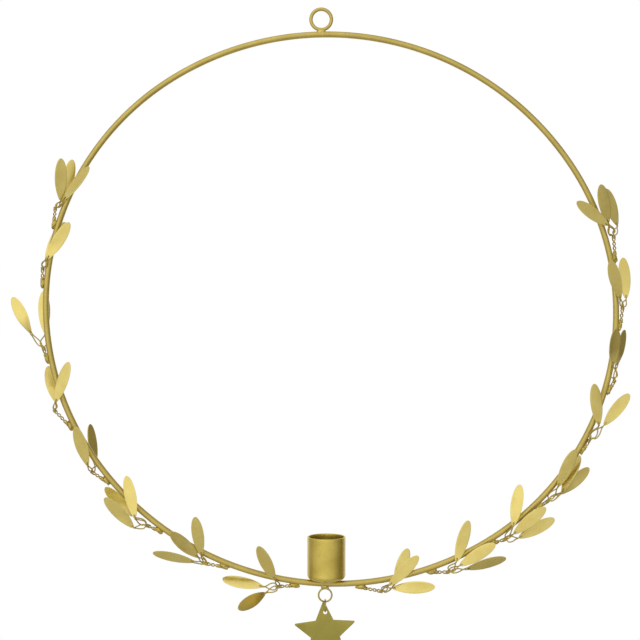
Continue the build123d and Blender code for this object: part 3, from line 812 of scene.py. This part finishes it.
def hairpin_route(knot, place, seed):
    """Route of a leaf's wire: out from the knot, bowed apart, through the hole and back."""
    along, side, face = (place.col[i].to_3d() for i in range(3))
    base = place.translation
    hole = base + along * LEAF_HOLE_IN
    below = base - along * HAIRPIN_STOP
    run = (below - knot).normalized()
    reach = (below - knot).length
    across = (side - run * side.dot(run)).normalized()
    chance = 0.8 + 0.6 * noise.noise(Vector((seed * 1.9, 0.3, 0.1)))
    bow = across * min(HAIRPIN_BOW, HAIRPIN_BOW_SHARE * reach) * chance
    pinch = across * HAIRPIN_PINCH
    lift = face * (LEAF_SHEET / 2 + STEM_WIRE / 2 + HAIRPIN_GAP)
    early, middle, late = (knot.lerp(below, part) for part in (0.25, 0.55, 0.85))
    before_bend, bend = (hole + along * past for past in HAIRPIN_BEND)
    # Points of the way, each with how far the two legs lie to its sides
    way = [
        (knot, pinch * 0.6),
        (early, pinch * 1.5),
        (early, bow),
        (middle, bow),
        (late, pinch + lift * 0.5),
        (below, lift),
        (base, lift),
        (before_bend, lift),
        (bend, lift),
    ]
    return [point + off for point, off in way] + [point - off for point, off in reversed(way)]


seed = 0
for sprig in SPRIGS:
    start, along, outward, oval_turn = stem_axis(sprig)
    knot = start + along * sprig.length
    places = [leaf_place(knot, leaf, oval_turn) for leaf in sprig.leaves]
    bm = bmesh.new()
    twisted_pair(bm, start, knot)
    wrapping(bm, knot, along, seed)
    bmesh.ops.holes_fill(bm, edges=[edge for edge in bm.edges if edge.is_boundary])
    wobble(bm, STEM_WOBBLE, STEM_WOBBLE_SIZE, seed)
    wires(bm, [hairpin_route(knot, place, seed + i) for i, place in enumerate(places)], STEM_WIRE)
    foot = start + along * FOOT_OUT - outward * FOOT_SINK
    neck = start + along * NECK_OUT
    lump(bm, axes(foot, along, outward), FOOT_SIZE, seed, FOOT_ROUGH)
    lump(bm, axes(neck, along, outward), NECK_SIZE, seed + 0.5, FOOT_ROUGH)
    finish_piece(f"wire_{sprig.name}", bm, "stem_wire", [f"sprig_{sprig.name}_stem"])

    bm = bmesh.new()
    for leaf, place in zip(sprig.leaves, places):
        seed += 1
        blade = leaf_blade(place, seed, leaf.twist)
        mesh = bpy.data.meshes.new("blade")
        blade.to_mesh(mesh)
        blade.free()
        bm.from_mesh(mesh)
        bpy.data.meshes.remove(mesh)
    finish_piece(f"leaves_{sprig.name}", bm, "leaf_sheet", [f"sprig_{sprig.name}_leaves"])


# Studio, in metres: white paper behind, a pale round floor that fades out, a large soft lamp in front to
# the left, a weaker one above, and a room that is bright at the front and dim behind
WHITE = (1, 1, 1, 1)
FLOOR_SHIFT = 0.006
FLOOR_DROP = 0.70
FLOOR_RADIUS = 0.60
FLOOR_FULL = 0.15  # radius from which the floor fades
FLOOR_COLOUR = (0.92, 0.92, 0.91, 1)
FLOOR_ROUGH = 0.9
FLOOR_GLOW = 0.3
LAMP_TARGET = Vector((0, 0, -0.25))
BRIGHT_SIDE = Vector((-0.28, -0.90, 0.33)).normalized()
BRIGHT_LIGHT = (0.98, 0.98, 1.06, 1)
DIM_LIGHT = (0.155, 0.133, 0.085, 1)
LIGHT_RANGE = (-0.45, 0.95)  # of the cosine to the bright side, from dim to bright
PAPER_RANGE = (0.35, 0.8)  # of the share straight back, where pieces mirror the paper

floor_bm = bmesh.new()
bmesh.ops.create_circle(floor_bm, cap_ends=True, segments=96, radius=FLOOR_RADIUS)
floor_mesh = bpy.data.meshes.new("floor")
floor_bm.to_mesh(floor_mesh)
floor_bm.free()
floor = add_object("floor", floor_mesh)
floor.location = (FLOOR_SHIFT, 0.0, -FLOOR_DROP)
floor_paint = bpy.data.materials.new("floor_paper")
floor_paint.use_nodes = True
tree = floor_paint.node_tree
paper = tree.nodes["Principled BSDF"]
paper.inputs["Base Color"].default_value = FLOOR_COLOUR
paper.inputs["Roughness"].default_value = FLOOR_ROUGH
paper.inputs["Emission Color"].default_value = WHITE
from_middle = put(tree, "ShaderNodeVectorMath", (-700, 0), operation="LENGTH")
feed(tree, put(tree, "ShaderNodeTexCoord", (-900, 0)).outputs["Object"], from_middle.inputs[0])
cover = spread(tree, from_middle.outputs["Value"], (FLOOR_FULL, FLOOR_RADIUS), (1, 0), (-500, 0))
feed(tree, cover, paper.inputs["Alpha"])
seen = put(tree, "ShaderNodeLightPath", (-700, -300)).outputs["Is Camera Ray"]
feed(tree, combine(tree, "MULTIPLY", seen, FLOOR_GLOW, (-500, -300)), paper.inputs["Emission Strength"])
floor_mesh.materials.append(floor_paint)


def soft_lamp(name, place, size, power):
    """Large square lamp that faces the ring."""
    data = bpy.data.lights.new(name, "AREA")
    data.size = size
    data.energy = power
    lamp = add_object(name, data)
    lamp.location = place
    lamp.rotation_euler = (LAMP_TARGET - Vector(place)).to_track_quat("-Z", "Y").to_euler()


soft_lamp("key_lamp", place=(-0.62, -1.25, 0.3), size=1.3, power=1.3)
soft_lamp("top_lamp", place=(-0.2, -0.3, 0.9), size=0.8, power=0.8)

world = bpy.data.worlds.new("studio")
bpy.context.scene.world = world
world.use_nodes = True
tree = world.node_tree
tree.nodes.clear()
ray = put(tree, "ShaderNodeLightPath", (-900, 500))
direction = put(tree, "ShaderNodeTexCoord", (-1100, 0)).outputs["Generated"]
toward = put(tree, "ShaderNodeVectorMath", (-900, 0), operation="DOT_PRODUCT")
toward.inputs[1].default_value = BRIGHT_SIDE
feed(tree, direction, toward.inputs[0])
lit_share = spread(tree, toward.outputs["Value"], LIGHT_RANGE, (0, 1), (-700, 0))
room = put(tree, "ShaderNodeBackground", (-300, 0))
feed(tree, blend(tree, lit_share, DIM_LIGHT, BRIGHT_LIGHT, (-500, 0)), room.inputs["Color"])
white = put(tree, "ShaderNodeBackground", (-300, -200))
white.inputs["Color"].default_value = WHITE
behind = put(tree, "ShaderNodeSeparateXYZ", (-900, 250))
feed(tree, direction, behind.inputs[0])
paper_share = spread(tree, behind.outputs["Y"], PAPER_RANGE, (0, 1), (-700, 250))
mirrored = combine(
    tree, "MAXIMUM", ray.outputs["Is Glossy Ray"], ray.outputs["Is Transmission Ray"], (-700, 500)
)
mirrored_paper = combine(tree, "MULTIPLY", mirrored, paper_share, (-500, 400))
white_share = combine(tree, "MAXIMUM", ray.outputs["Is Camera Ray"], mirrored_paper, (-300, 400))
mixed = put(tree, "ShaderNodeMixShader", (-80, 0))
for value, socket in zip((white_share, room.outputs[0], white.outputs[0]), mixed.inputs):
    feed(tree, value, socket)
sky = put(tree, "ShaderNodeOutputWorld", (140, 0))
feed(tree, mixed.outputs[0], sky.inputs["Surface"])

# Camera: level, straight at the hoop
camera_data = bpy.data.cameras.new("camera")
camera_data.lens = 73.0
camera_data.sensor_width = 36.0
camera = add_object("camera", camera_data)
camera.location = (-0.000786, -0.85, -0.20253)
camera.rotation_euler = (radians(90), 0, 0)
bpy.context.scene.camera = camera
bpy.context.scene.view_settings.view_transform = "Standard"
